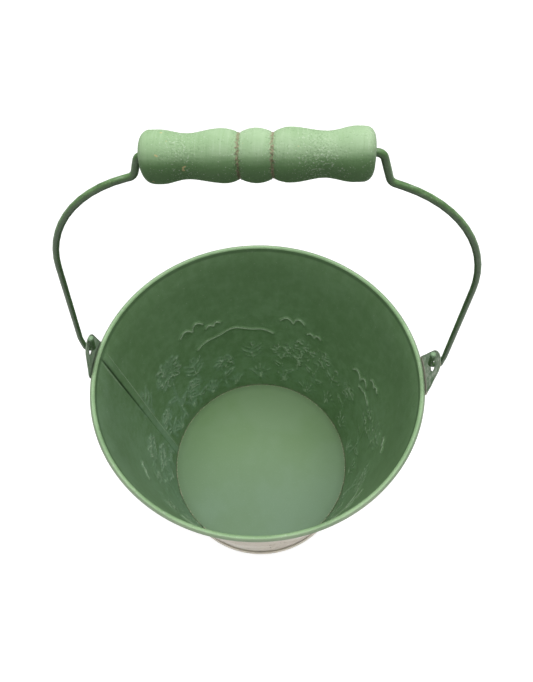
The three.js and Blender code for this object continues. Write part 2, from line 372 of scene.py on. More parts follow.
BIRDS = [
    (bird(22), 131, 121), (bird(13), 119, 116), (bird(21), 75, 114), (bird(13), 62, 106),
    (bird(20), 27, 106), (bird(12), 17, 119), (bird(13), 211, 116), (bird(20), 262, 119),
    (bird(12), 273, 126), (bird(19), 318, 120), (bird(12), 346, 123),
]
HILLS = [  # start, end, height and rise
    (86, 131, 98, 8), (236, 274, 104, 7), (292, 328, 101, 8), (14, 26, 99, 3),
]


def hill(start, end, height, rise):
    """A hill's line between two directions, with a dip on its way."""
    share = np.linspace(0, 1, 40)
    lift = rise * (np.sin(math.pi * share) + 0.16 * np.sin(5 * math.pi * share))
    across = (share - 0.5) * math.radians(end - start) * wall_inner(height * MM) / MM
    return [np.stack([across, lift], 1)], (start + end) / 2, height


SKYLINE = BIRDS + [hill(*h) for h in HILLS]
lines = sum(len(paths) for paths, _, _ in MEADOW + SKYLINE)
print(len(MEADOW + SKYLINE), "drawings,", lines, "pressed lines")

# %% [markdown]
# ## The columns and the side seam
#
# The two ends of the rolled sheet are hooked together in a lock seam, about level with the left ear. It is
# a band 6 mm wide that stands 0.9 mm proud on the inside near the rim, with a dark slit along its front
# edge where the fold doesn't quite close. Lower down the band flattens and the slit closes. The slit is
# much finer than the flowers, so extra columns are put just there.
#
# The flowers are pressed unevenly, so their lines fade and come back. Wear breaks them up more than that
# where they are rubbed pale inside, and less where the wash fills them outside.

# %% Space the columns, then work out how high each point is pressed
COLUMNS = 560
SEAM_TURN = math.radians(177.4)
SEAM_HALF = 3.0
SEAM_PROUD = 0.9
SEAM_STEP = 0.35
SEAM_COLUMNS = [-3.6, -3.2, -2.9, -2.6, -1.2, 1.2, 2.6, 2.9, 3.15, 3.4, 3.7, 4.2]
SEAM_FLAT_BELOW, SEAM_FULL_ABOVE = 75, 150
SLIT_AT, SLIT_HALF = SEAM_HALF + 0.3, 0.55
PRESS_DEPTH = 0.8
FLOWER_LINE, SKY_LINE = 1.0, 1.35  # half the width of a line
SKY_DEEPER = 1.3
LINE_REACH = 5.0

middle_radius = wall_inner(rim_centre * 0.6) / MM
seam_columns = SEAM_TURN + np.array(SEAM_COLUMNS) / middle_radius
even = round_about(COLUMNS)
even = even[np.abs(even - SEAM_TURN) > 5 / middle_radius]
columns = np.sort(np.concatenate([even, seam_columns]))

height_mm, around = np.meshgrid(wall_z / MM, columns, indexing="ij")
radius_mm = wall_inner(height_mm * MM) / MM


def sheet_place(degrees, height):
    """Where each point of the wall lies on the flat sheet, in millimetres from a place on it."""
    apart = (around - math.radians(degrees) + math.pi) % (2 * math.pi) - math.pi
    return apart * radius_mm, (height_mm - height) / math.cos(lean)


def distance_to(u, v, path):
    """How far (u, v) is from the nearest point of a path."""
    nearest = np.full(u.shape, np.inf)
    for a, b in zip(path[:-1], path[1:]):
        run = b - a
        share = np.clip(((u - a[0]) * run[0] + (v - a[1]) * run[1]) / (run @ run + 1e-9), 0, 1)
        nearest = np.minimum(nearest, np.hypot(u - a[0] - share * run[0], v - a[1] - share * run[1]))
    return nearest


def distance_to_lines(drawings):
    """How far each point of the wall is from the nearest line, up to LINE_REACH."""
    gap = np.full(around.shape, LINE_REACH)
    for paths, degrees, height in drawings:
        u, v = sheet_place(degrees, height)
        for path in paths:
            low, high = path.min(0) - LINE_REACH, path.max(0) + LINE_REACH
            near = (u > low[0]) & (u < high[0]) & (v > low[1]) & (v < high[1])
            if near.any():
                gap[near] = np.minimum(gap[near], distance_to(u[near], v[near], path))
    return gap


def pressed_line(gap, half_width):
    """How high a line stands at a distance from its middle, from 0 to 1."""
    return np.clip(1 - (gap / half_width) ** 2, 0, 1) ** 1.3


flower_gap = distance_to_lines(MEADOW)
flower_lines = pressed_line(flower_gap, FLOWER_LINE)
sky_lines = pressed_line(distance_to_lines(SKYLINE), SKY_LINE)
evenness = 0.62 + 0.62 * wobble(12, height_mm / 2.6, np.cos(around) * 30, np.sin(around) * 30, waves=11)
press = np.maximum(flower_lines * np.clip(evenness, 0.25, 1), SKY_DEEPER * sky_lines)
worn_lines = np.maximum(flower_lines * np.clip(evenness, 0.05, 1), sky_lines)
filled_lines = np.maximum(flower_lines * np.clip(evenness + 0.5, 0.6, 1), sky_lines)

seam_u, _ = sheet_place(math.degrees(SEAM_TURN), 0)


def ramp(x, start, end):
    """0 before start, 1 after end and smooth between."""
    t = np.clip((x - start) / (end - start), 0, 1)
    return t * t * (3 - 2 * t)


seam_ends = ramp(height_mm, floor_top / MM, floor_top / MM + 1) * (1 - ramp(height_mm, 182, 185))
seam_open = ramp(height_mm, SEAM_FLAT_BELOW, SEAM_FULL_ABOVE)
seam_band = ramp(SEAM_HALF + SEAM_STEP - np.abs(seam_u), 0, SEAM_STEP)
seam_band = seam_band * seam_ends * (0.45 + 0.55 * seam_open)
slit = np.clip(1 - np.abs(seam_u - SLIT_AT) / SLIT_HALF, 0, 1) * seam_ends * seam_open
seam_edge = bell(seam_u + SEAM_HALF - 0.4, 0.7) * seam_ends
near_edge = bell(seam_u - SEAM_HALF - 1.5, 0.5) * seam_ends * ramp(height_mm, 130, 160)
off_seam = 1 - ramp(SEAM_HALF + 2.5 - np.abs(seam_u), 0, 2)
press, worn_lines, filled_lines = press * off_seam, worn_lines * off_seam, filled_lines * off_seam
left_side = np.clip(-np.cos(around), 0, 1)
dust_and_paleness = bell(flower_gap, 2.8) * (0.35 + 0.65 * left_side)
# paler along the seam, more so low down
dust_and_paleness = np.maximum(dust_and_paleness, bell(seam_u, 4.5) * (0.45 + 0.55 * ramp(-height_mm, -150, -70)))
# paler low on the left side, and towards the front left
dust_and_paleness = np.maximum(dust_and_paleness, 0.40 * left_side * ramp(-height_mm, -150, -60))
dust_and_paleness = np.maximum(dust_and_paleness, 0.80 * np.clip(np.cos(around - math.radians(215)), 0, 1) ** 3)
print(f"{len(columns)} columns; {100 * (press > 0.05).mean():.0f}% of the wall is pressed")

# %% [markdown]
# ## The wall
#
# Now the outline is turned round the axis, one copy for each column, and each face is pushed in along the
# wall's own slope: the flowers move both faces together, so the sheet keeps its thickness, and the seam's
# band stands on the inner face alone. A slow dent or two, about a sixth of a millimetre deep, keeps
# reflections from being those of a perfect cone.

# %% Build the wall
DENT_DEPTH = 0.16
SLIT_DEPTH_INSIDE, SLIT_DEPTH_OUTSIDE = 0.2, 0.22


def on_faces(inside, outside):
    """Values for every point of the outline: given on the wall's two faces, and 0 on the curls."""
    rows = len(wall_z)
    start = rows + BEAD_ROWS + ROLL_ROWS
    values = np.zeros((len(outline), len(columns)))
    values[:rows] = inside
    values[start:start + rows] = outside[::-1]
    return values


dents = wobble(5, height_mm / 34, np.cos(around) * 2.6, np.sin(around) * 2.6)
dents = DENT_DEPTH * dents * ramp(height_mm, 8, 60) * (1 - ramp(height_mm, 150, 182))
push = on_faces(
    PRESS_DEPTH * press + SEAM_PROUD * seam_band - SLIT_DEPTH_INSIDE * slit + dents,
    PRESS_DEPTH * press + SLIT_DEPTH_OUTSIDE * slit + dents,
)
radii = outline[:, :1] - push * MM * math.cos(lean)
heights = outline[:, 1:] + push * MM * math.sin(lean)
wall_grid = np.stack([radii * np.cos(columns), radii * np.sin(columns), heights + 0 * radii], -1)
wall_sheet = skin("wall_sheet", wall_grid, round_rows=True, marks={
    "pressed": on_faces(np.maximum(worn_lines, 0.85 * np.maximum(seam_edge, near_edge)), filled_lines),
    # the seam's slit, which is painted dark as shade on both faces
    "painted_slit_shade": on_faces(slit, 0.7 * slit),
    # dust round the flowers, and a paler seam, left side and front left, on the inner face only
    "dust": on_faces(dust_and_paleness, 0 * dust_and_paleness),
})
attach(wall_sheet, "pail")
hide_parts("pail_wall")

# %% [markdown]
# ## The floor pan
#
# The floor is a disc pressed with a short flange that fits down inside the wall. Thin sheet held at its
# edge is never flat: it waves a little towards the middle. The rings are close together at the rounded
# corner and wide apart elsewhere.

# %% Build the floor pan
FLOOR_CORNER = 0.8 * MM
CLEAR = 0.08 * MM
FLOOR_SIDES, FLOOR_RINGS = 216, 30
SAG = 0.09 * MM

flange_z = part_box("base_disc")[0].z
flange_r = wall_inner(flange_z) - CLEAR
corner_r = wall_inner(floor_top - FLOOR_CORNER) - CLEAR - FLOOR_CORNER
corner_z = floor_top - FLOOR_CORNER
flat_r = np.linspace(0.4 * MM, corner_r, FLOOR_RINGS)
pan_top = np.stack([flat_r, np.full(FLOOR_RINGS, floor_top)], 1)
pan_outline = np.concatenate([
    pan_top,
    round_bend(corner_r, corner_z, FLOOR_CORNER, 90, 0, 8)[1:],
    [[flange_r, flange_z + 0.1 * MM], [flange_r - 0.15 * MM, flange_z], [flange_r - SHEET, flange_z]],
    round_bend(corner_r, corner_z, FLOOR_CORNER - SHEET, 0, 90, 6),
    pan_top[::-1] - [0, SHEET],
])
pan_turn = round_about(FLOOR_SIDES)
pan_x = pan_outline[:, :1] * np.cos(pan_turn)
pan_y = pan_outline[:, :1] * np.sin(pan_turn)
sag = wobble(9, pan_x / 0.05, pan_y / 0.05) * SAG * (1 - (pan_outline[:, :1] / (corner_r + 0.01)) ** 2)
pan_grid = np.stack([pan_x, pan_y, pan_outline[:, 1:] + sag], -1)
floor_pan = skin("floor_pan", pan_grid)
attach(floor_pan, "pail")
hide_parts("base_disc")

# %% [markdown]
# ## The ears
#
# An ear is a stamped plate with a hole. It lies on the wall, steps out round the bead and stands up above
# the rim. Seen from the side it is one bent line, and seen from the front it is a shield. The grid goes
# round the hole: each row is a ring, from the hole's front edge out over the front face, round the rim of
# the plate, back over the rear face and through the hole again, so hole, faces and rounded edges are all
# one skin.

# %% The shield's outline and the bent side view
EAR_HALF_WIDTH, EAR_TOP_R, EAR_TOP_AT, EAR_FOOT_R, EAR_FOOT_AT = 13, 8, 13.5, 9, -14
EAR_HOLE_R, EAR_HOLE_AT = 3.2, 11.4
EAR_SHEET, EAR_EDGE = 0.8, 0.24
EAR_GAP = 0.3
EAR_TURNS = 144


def shield_reach(angles):
    """How far the shield's outline is from the hole's centre, in each direction."""
    reach = np.full(angles.shape, np.inf)
    shape = []
    for centre, radius, sign in ((EAR_TOP_AT, EAR_TOP_R, 1), (EAR_FOOT_AT, EAR_FOOT_R, -1)):
        along = math.atan2(abs(centre), EAR_HALF_WIDTH)
        touch = math.acos(radius / math.hypot(EAR_HALF_WIDTH, centre)) - along
        t = np.linspace(touch, math.pi - touch, 40) * sign
        shape.append(np.stack([radius * np.cos(t), centre + radius * np.sin(t)], 1))
    loop = np.concatenate([[[EAR_HALF_WIDTH, 0]], shape[0], [[-EAR_HALF_WIDTH, 0]], shape[1][::-1]])
    loop = loop - [0, EAR_HOLE_AT]
    for a, b in zip(loop, np.roll(loop, -1, 0)):
        across = np.cos(angles) * (b - a)[1] - np.sin(angles) * (b - a)[0]
        with np.errstate(divide="ignore", invalid="ignore"):
            far = (a[0] * (b - a)[1] - a[1] * (b - a)[0]) / across
            share = (a[0] * np.sin(angles) - a[1] * np.cos(angles)) / across
        hit = (far > 0) & (share >= -1e-6) & (share <= 1 + 1e-6)
        reach = np.where(hit, np.minimum(reach, far), reach)
    return reach


def ear_side(height, slope):
    """The plate's middle line: its radius in millimetres at a height above the rim's centre line."""
    def on_wall(z):
        return wall_inner(rim_centre + z * MM) / MM + SHEET / MM + EAR_GAP
    out = rim_radius / MM + EAR_GAP
    fine = np.linspace(-30, 26, 1400)
    heights = [-26, -4.2, -1.4, 1.5, 23.5]
    line = np.interp(fine, heights, [on_wall(-26), on_wall(-4.2), out, out, out + 22 * slope])
    line = np.where(fine < -26, on_wall(-26), line)
    weights = np.hanning(41)
    line = np.convolve(np.pad(line, 20, mode="edge"), weights / weights.sum(), "valid")
    return np.interp(height, fine, line + EAR_SHEET / 2)


ear_angles = round_about(EAR_TURNS)
outer_reach = shield_reach(ear_angles)
print(f"the shield reaches {outer_reach.min():.1f} to {outer_reach.max():.1f} mm from the hole")

# %% Build an ear
WELDS = [(-4.6, -14.5), (4.6, -14.5)]
WELD_R, WELD_DEPTH = 2.3, 0.28


def make_ear(name, node, slope, facing, seed):
    """One ear. slope is how it leans outwards, and facing is 1 on the right and -1 on the left."""
    share = np.linspace(0, 1, 26) ** 1.15
    bend = np.linspace(0, math.pi / 2, 5)[1:]
    half = EAR_SHEET / 2
    curl = [(EAR_EDGE * math.sin(b), half - EAR_EDGE * (1 - math.cos(b))) for b in bend]
    section = [(s, 0, half) for s in share]
    section += [(1, over, off) for over, off in curl]
    section += [(1, over, -off) for over, off in curl[::-1]]
    section += [(s, 0, -half) for s in share[::-1]]
    section += [(0, -over, -off) for over, off in curl]
    section += [(0, -over, off) for over, off in curl[::-1]]
    grid = np.zeros((len(section), EAR_TURNS, 3))
    edge_mark = np.zeros((len(section), EAR_TURNS))
    for row, (s, over, off) in enumerate(section):
        inner, outer = EAR_HOLE_R + EAR_EDGE, outer_reach - EAR_EDGE
        reach = inner + (outer - inner) * s + over
        y = reach * np.cos(ear_angles)
        z = EAR_HOLE_AT + reach * np.sin(ear_angles)
        step = 0.05
        tilt = (ear_side(z + step, slope) - ear_side(z - step, slope)) / (2 * step)
        thick = np.full(EAR_TURNS, off)
        for wy, wz in WELDS:
            thick -= WELD_DEPTH * np.exp(-((np.hypot(y - wy, z - wz) / WELD_R) ** 4)) * (off > 0)
        dented = 0.10 * wobble(seed, y / 7, z / 7)
        r = ear_side(z, slope) + thick / np.sqrt(1 + tilt**2) + dented * ramp(z, 2, 8)
        z = z - thick * tilt / np.sqrt(1 + tilt**2)
        x = np.sqrt(np.maximum(r**2 - y**2, 1))
        grid[row] = np.stack([facing * x, facing * y, rim_centre / MM + z], -1) * MM
        edge_mark[row] = ramp(s * (outer - inner), outer - inner - 1.6, outer - inner) + ramp(-s, -0.05, 0)
    ear = skin(name, grid, round_rows=True, marks={"edge": edge_mark})
    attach(ear, "pail")
    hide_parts(node)
    return ear


right_ear = make_ear("right_ear_plate", "right_ear", math.tan(math.radians(7.5)), 1, 21)
left_ear = make_ear("left_ear_plate", "left_ear", math.tan(math.radians(-8)), -1, 22)

# %% [markdown]
# ## The bail
#
# The bail is one length of 2.9 mm wire bent by hand: a hook at each end through an ear, a leg, a wide
# shoulder, and a crank on each side that holds the grip in the middle. Straight runs and round bends
# between corners describe it fully. A bevelled curve would do, but the swept skin also carries the
# distance along the wire to the paint, and lets the cut ends be domed with the drop of paint that hangs
# there.

# %% Lay the wire's path
WIRE_R = 1.45
BAIL_CORNERS = [  # x, z and the radius of the bend, in millimetres from the pivot
    (-95.35, 11, 0), (-96.8, 0, 2), (-101.5, 0, 2), (-101.4, 11, 12), (-85.1, 112.4, 66),
    (-43.6, 125.9, 4.5), (-40.4, 134.8, 3), (45.9, 139.6, 3.5), (50.9, 127.4, 4.5),
    (97.2, 111.7, 66), (105.5, 9.5, 16), (105.5, 0, 2), (100, 0, 2), (98.85, 11, 0),
]


def wire_path(corner_list, spacing=1.6, degrees=5):
    """Points and directions along straight runs joined by round bends."""
    at = [np.array(c[:2], float) for c in corner_list]
    points, ways = [], []

    def run_to(place, way):
        if points:
            start = points[-1]
            steps = max(2, math.ceil(np.linalg.norm(place - start) / spacing))
            for share in np.linspace(0, 1, steps)[1:-1]:
                points.append(start + (place - start) * share)
                ways.append(way)
        points.append(place)
        ways.append(way)

    for i, corner in enumerate(at):
        before = (corner - at[max(i - 1, 0)]) / (np.linalg.norm(corner - at[max(i - 1, 0)]) or 1)
        after_at = at[min(i + 1, len(at) - 1)]
        after = (after_at - corner) / (np.linalg.norm(after_at - corner) or 1)
        bend = corner_list[i][2]
        if bend == 0:
            run_to(corner, after if i == 0 else before)
            continue
        turn = math.atan2(before[0] * after[1] - before[1] * after[0], before @ after)
        reach = bend * math.tan(abs(turn) / 2)
        run_to(corner - before * reach, before)
        side = np.array([-before[1], before[0]]) * math.copysign(1, turn)
        centre = corner - before * reach + side * bend
        for share in np.linspace(0, 1, max(3, math.ceil(math.degrees(abs(turn)) / degrees)))[1:]:
            c, s = math.cos(turn * share), math.sin(turn * share)
            swing = np.array([[c, -s], [s, c]])
            points.append(centre + swing @ (-side * bend))
            ways.append(swing @ before)
    return np.array(points), np.array(ways)


bail_points, bail_ways = wire_path(BAIL_CORNERS)
along = np.concatenate([[0], np.cumsum(np.linalg.norm(np.diff(bail_points, axis=0), axis=1))])
print(f"the bail takes {along[-1]:.0f} mm of wire in {len(bail_points)} steps")

# %% Sweep the wire
WIRE_SIDES = 24
DOME, DOME_RINGS = 0.9, 5
DROP_SWELLS = 0.09
# The side of the bail and the grip that painted shade darkens: down and towards the front.
SHADED_SIDE_FACES = np.array([0, -0.64, -0.77])

wire_r = np.full(len(along), WIRE_R) + 0.018 * wobble(31, along / 4)
dome_turn = np.linspace(0, math.pi / 2, DOME_RINGS + 1)[1:]


def domed(points, ways, sizes, outwards):
    """Extra rings that close one end of the wire with a dome."""
    rings = [points + ways * outwards * DOME * math.sin(t) for t in dome_turn]
    return rings, [sizes * max(math.cos(t), 0.02) for t in dome_turn]


first_rings, first_sizes = domed(bail_points[0], bail_ways[0], wire_r[0], -1)
last_rings, last_sizes = domed(bail_points[-1], bail_ways[-1], wire_r[-1], 1)
wire_centres = np.array(first_rings[::-1] + list(bail_points) + last_rings)
wire_ways = np.array([bail_ways[0]] * DOME_RINGS + list(bail_ways) + [bail_ways[-1]] * DOME_RINGS)
wire_sizes = np.array(first_sizes[::-1] + list(wire_r) + last_sizes)
wire_along = np.pad(along, DOME_RINGS, mode="edge")
from_end = np.minimum(wire_along, along[-1] - wire_along)
drop = 1 - ramp(from_end, 0.6, 2.2)
wire_sizes = wire_sizes * (1 + DROP_SWELLS * drop)

side_turn = round_about(WIRE_SIDES)
sideways = np.stack([-wire_ways[:, 1], wire_ways[:, 0]], 1)
wire_x = wire_centres[:, :1] + sideways[:, :1] * wire_sizes[:, None] * np.cos(side_turn)
wire_z = wire_centres[:, 1:] + sideways[:, 1:] * wire_sizes[:, None] * np.cos(side_turn)
wire_y = wire_sizes[:, None] * np.sin(side_turn)
wire_grid = np.stack([wire_x, wire_y, wire_z], -1) * MM + np.array(pivot)
wire_outwards = np.stack([
    sideways[:, :1] * np.cos(side_turn),
    np.sin(side_turn) + 0 * wire_x,
    sideways[:, 1:] * np.cos(side_turn),
], -1)
bail = skin("bent_bail", wire_grid, marks={
    # painted shade: how far each point of the wire faces down and forwards
    "painted_shade_side": wire_outwards @ SHADED_SIDE_FACES,
    "along": wire_along[:, None] * MM,
    "drop": drop[:, None],
})
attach(bail, "bail")
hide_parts("bail_wire")

# %% [markdown]
# ## The grip
#
# The grip is a stick turned on a lathe: two long waists, two sharp V-grooves near the middle and rounded
# ends, with a hole bored through for the wire. Its outline is a row of smooth waves between the high and
# low places. The grooves were cut last and the grain tore a little, so a random roughness grows in them
# and along the corners of the ends.

# %% Turn the grip
GRIP_LENGTH = 81.4
GRIP_BORE, GRIP_MOUTH, GRIP_MOUTH_DEPTH = 2.5, 3.9, 1.0
TURNING = [(0, 9.15), (5.9, 7.7), (11.6, 9.15), (24.1, 7.7), (34.8, 9.15)]  # from the middle, radius
GRIP_END_AT, GRIP_FACE_R = 37.0, 5.4
GROOVE_AT = TURNING[1][0]
GRIP_SIDES, END_RINGS = 144, 8
HELD_AT = ((-26, 7), (21, 8))  # patches worn by hands, from the middle, and their widths

grip_axis = Vector(grip_joint["axis"]).normalized()
grip_centre = Vector(grip_joint["pos_m"])


def turned_radius(distance):
    """The radius at a distance from the middle. The grooves are sharp, and the other lows are smooth."""
    d = abs(distance)
    for k, ((d0, r0), (d1, r1)) in enumerate(zip(TURNING[:-1], TURNING[1:])):
        if d <= d1:
            turn = (d - d0) / (d1 - d0) * math.pi
            falls = 1 - math.cos(turn / 2)
            rises = math.sin(turn / 2)
            return r0 + (r1 - r0) * (falls, rises, (1 - math.cos(turn)) / 2)[min(k, 2)]
    return TURNING[-1][1]


half_length = GRIP_LENGTH / 2
body = np.unique(np.concatenate([
    np.linspace(-GRIP_END_AT, GRIP_END_AT, 170),
    *[s * (GROOVE_AT + np.linspace(-1.4, 1.4, 15)) for s in (-1, 1)],
]))
end_turn = np.linspace(0, math.pi / 2, END_RINGS + 1)[1:]
end_r = turned_radius(GRIP_END_AT)
right_end = [(GRIP_END_AT + (half_length - GRIP_END_AT) * math.sin(t),
              GRIP_FACE_R + (end_r - GRIP_FACE_R) * math.cos(t)) for t in end_turn]
right_end += [(half_length, 4.7), (half_length, GRIP_MOUTH + 0.15), (half_length - 0.2, GRIP_MOUTH - 0.05)]
right_end += [(half_length - GRIP_MOUTH_DEPTH, GRIP_BORE)]
bore = [(x, GRIP_BORE) for x in np.linspace(half_length - 4, 4 - half_length, 12)]
left_end = [(-x, r) for x, r in right_end[::-1]]
grip_outline = np.array([(x, turned_radius(x)) for x in body] + right_end + bore + left_end)

grip_turn = round_about(GRIP_SIDES)
place, size = grip_outline[:, :1], grip_outline[:, 1:]
outer_skin = np.zeros((len(grip_outline), 1))
outer_skin[:len(body) + END_RINGS] = 1
groove = bell(np.abs(place) - GROOVE_AT, 0.95) * outer_skin
corner = bell(np.abs(place) - half_length + 1.2, 1.5) * outer_skin
handled = sum(bell(place - at, wide) for at, wide in HELD_AT)
handled = (handled + 0.7 * bell(np.abs(place) - GROOVE_AT, 2.2)) * outer_skin
torn = wobble(41, place / 0.5, np.cos(grip_turn) * 14, np.sin(grip_turn) * 14, waves=12)
tool = wobble(42, place / 0.42, waves=12)
uneven = wobble(43, place / 9, np.cos(grip_turn) * 1.6, np.sin(grip_turn) * 1.6)
grip_size = size + outer_skin * (0.022 * tool + 0.07 * uneven)
grip_size = grip_size + torn * (0.20 * groove + 0.07 * corner) - 0.28 * groove

out_a = grip_axis.orthogonal().normalized()
out_b = grip_axis.cross(out_a)
spoke = np.cos(grip_turn)[:, None] * np.array(out_a) + np.sin(grip_turn)[:, None] * np.array(out_b)
grip_grid = np.array(grip_centre) + MM * (
    place[:, :, None] * np.array(grip_axis) + grip_size[:, :, None] * spoke[None]
)
grip = skin("turned_grip", grip_grid, round_rows=True, marks={
    "groove": groove,
    "corner": corner,
    "handled": handled,
    # painted shade: how far each point of the grip faces down and forwards
    "painted_shade_side": (spoke @ SHADED_SIDE_FACES)[None, :],
})
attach(grip, "grip")
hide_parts("grip")

# %% [markdown]
# ## Writing shaders as sums
#
# A finish is a small tree of nodes, and a tree drawn by hand soon becomes hard to read. The class below
# wraps a socket so that ordinary Python sums build the Math nodes. Colours never go through a Math node,
# which would turn them grey, so they are mixed by a Mix node instead.

# %% A socket that can be added, multiplied and mixed


def linear(red, green, blue):
    """A colour as a paint chart gives it, 0 to 255, turned into the light that a shader works with."""
    parts = [c / 255 for c in (red, green, blue)]
    return tuple(c / 12.92 if c <= 0.04045 else ((c + 0.055) / 1.055) ** 2.4 for c in parts) + (1.0,)


class Value:
    """The output of a node, for use in sums."""

    def __init__(self, finish, socket):
        self.finish = finish
        self.socket = socket

    def sum(self, operation, first, second):
        return self.finish.node("Math", {"operation": operation}, {0: first, 1: second})

    def __add__(self, other):
        return self.sum("ADD", self, other)

    def __radd__(self, other):
        return self.sum("ADD", other, self)

    def __sub__(self, other):
        return self.sum("SUBTRACT", self, other)

    def __rsub__(self, other):
        return self.sum("SUBTRACT", other, self)

    def __mul__(self, other):
        return self.sum("MULTIPLY", self, other)

    def __rmul__(self, other):
        return self.sum("MULTIPLY", other, self)

    def __pow__(self, other):
        return self.sum("POWER", self, other)


class Finish:
    """A material, or a sky, that is built up in steps."""

    def __init__(self, name, kind="materials"):
        self.material = getattr(bpy.data, kind).new(name)
        self.material.use_nodes = True
        self.tree = self.material.node_tree
        self.shader = self.tree.nodes["Background" if kind == "worlds" else "Principled BSDF"]

    def node(self, kind, settings=None, sockets=None, out=0):
        """Adds a node: its settings first, then values or links for its sockets. Gives one output."""
        made = self.tree.nodes.new("ShaderNode" + kind)
        for name, value in (settings or {}).items():
            setattr(made, name, value)
        for socket, value in (sockets or {}).items():
            self.feed(made.inputs[socket], value)
        return Value(self, made.outputs[out])

    def feed(self, socket, value):
        if isinstance(value, Value):
            self.tree.links.new(value.socket, socket)
        else:
            socket.default_value = value

    def place(self, x, y, z):
        """The point being painted, stretched along each axis: a larger number makes finer marks."""
        at = self.node("TexCoord", out="Object")
        return self.node("VectorMath", {"operation": "MULTIPLY"}, {0: at, 1: (x, y, z)})

    def along(self, axis):
        """How far the point being painted is along x, y or z, which are 0, 1 and 2."""
        return self.node("SeparateXYZ", None, {0: self.place(1, 1, 1)}, axis)

    def noise(self, scale, detail=3, rough=0.55, stretch=(1, 1, 1), at=None):
        """Cloudy values from 0 to 1, at the point being painted or at another place."""
        at = at or self.place(*stretch)
        sockets = {"Vector": at, "Scale": scale, "Detail": detail, "Roughness": rough}
        return self.node("TexNoise", None, sockets, "Fac")

    def between(self, value, low, high, to_low=0.0, to_high=1.0):
        """to_low where value is under low, to_high where it is over high, and smooth between."""
        sockets = {"Value": value, "From Min": low, "From Max": high, "To Min": to_low, "To Max": to_high}
        return self.node("MapRange", {"interpolation_type": "SMOOTHSTEP"}, sockets)

    def mark(self, name):
        """A value that was stored on the mesh."""
        return self.node("Attribute", {"attribute_name": name}, out="Fac")

    def mix(self, share, first, second):
        """first where share is 0 and second where it is 1. Either may be a colour from a paint chart."""
        first, second = (linear(*c) if isinstance(c, tuple) else c for c in (first, second))
        return self.node("Mix", {"data_type": "RGBA"}, {0: share, 6: first, 7: second}, 2)

    def coats(self, colour, *coats):
        """Brushes coats over a colour, one after another. Each is how much it covers, and its colour."""
        for share, coat in coats:
            colour = self.mix(share, colour, coat)
        return colour

    def bump(self, height, distance, strength=1.0):
        return self.node("Bump", None, {"Height": height, "Distance": distance, "Strength": strength})

    def done(self, colour, rough, bump=None, **plain):
        """Feeds the shader. plain holds the values that are the same all over."""
        self.feed(self.shader.inputs["Base Color"], colour)
        self.feed(self.shader.inputs["Roughness"], rough)
        if bump is not None:
            self.feed(self.shader.inputs["Normal"], bump)
        for name, value in plain.items():
            self.shader.inputs[name.replace("_", " ")].default_value = value
        print(f"{self.material.name}: {len(self.tree.nodes)} nodes")
        return self.material


# %% [markdown]
# ## Paint on the inside
#
# The inside is a satin green, brushed on thin. It is deeper and cleaner high on the plain wall, and
# painted shade makes it darkest just under the rim and in the seam's slit. Where the press raised a line
# it has been rubbed paler, a chalky dust has settled round the flowers, and the wall is paler along the
# seam and low on the left side, most of all towards the front left. All of it is driven by where a point
# is and by the marks that were stored on the wall when it was built.

# %% Inside paint


def inside_paint():
    f = Finish("inside_paint")
    cloud = f.noise(22, 4, 0.6)
    streak = f.noise(260, 3, 0.6, stretch=(1, 1, 0.12))
    fine = f.noise(900, 2)
    speck = f.between(f.noise(620, 2, 0.4), 0.70, 0.76)
    line = f.mark("pressed")
    low = f.along(2)
    # dust round the flowers, and the paler seam, left side and front left
    dust_and_paleness = f.mark("dust")
    mottle = f.noise(130, 4, 0.65)
    green_spread = f.between(cloud * 0.4 + mottle * 0.6, 0.36, 0.66)
    chalk = f.between(cloud * 0.3 + mottle * 0.45 + fine * 0.6 + dust_and_paleness * 0.30, 0.70, 0.98)
    chalk = chalk * f.between(low, 0.015, 0.15, 1, 0.4)
    rubbed = f.between(line + (fine - 0.5) * 0.9, 0.40, 0.95)
    corner = f.between(low, floor_top + 0.3 * MM, floor_top + 1.4 * MM, 1, 0) * f.between(fine, 0.48, 0.60)
    green = f.coats(
        f.mix(green_spread * f.between(low, 0.09, 0.15, 1, 0.55), (110, 143, 99), (131, 164, 123)),
        (f.between(streak, 0.35, 0.75) * 0.12, (144, 174, 136)),
        (chalk * (0.16 + dust_and_paleness * 0.44), (162, 190, 172)),
        (rubbed * 0.62, (200, 216, 192)),
        (speck * 0.25, (200, 214, 196)),
        (corner * 0.7, (172, 166, 142)),
        # painted shade just under the rim
        (f.between(low, rim_centre - 3.2 * MM, rim_centre - 1.7 * MM, 0, 0.5), (56, 80, 50)),
        # painted shade in the seam's slit
        (f.mark("painted_slit_shade"), (34, 50, 30)),
    )
    rough = 0.40 + 0.22 * chalk + 0.10 * rubbed + 0.08 * streak
    relief = streak * 0.5 + fine * 0.35 + cloud * 0.6
    return f.done(green, rough, f.bump(relief, 0.00012, 0.5), Specular_IOR_Level=0.45)


# %% [markdown]
# ## Paint on the rim
#
# The rolled rim catches every knock. Its green is lighter than the wall's and rubbed thin, with pale
# specks. It goes darker and greyer along its outermost edge, and painted shade darkens it where it tucks
# in under itself.

# %% Rim paint


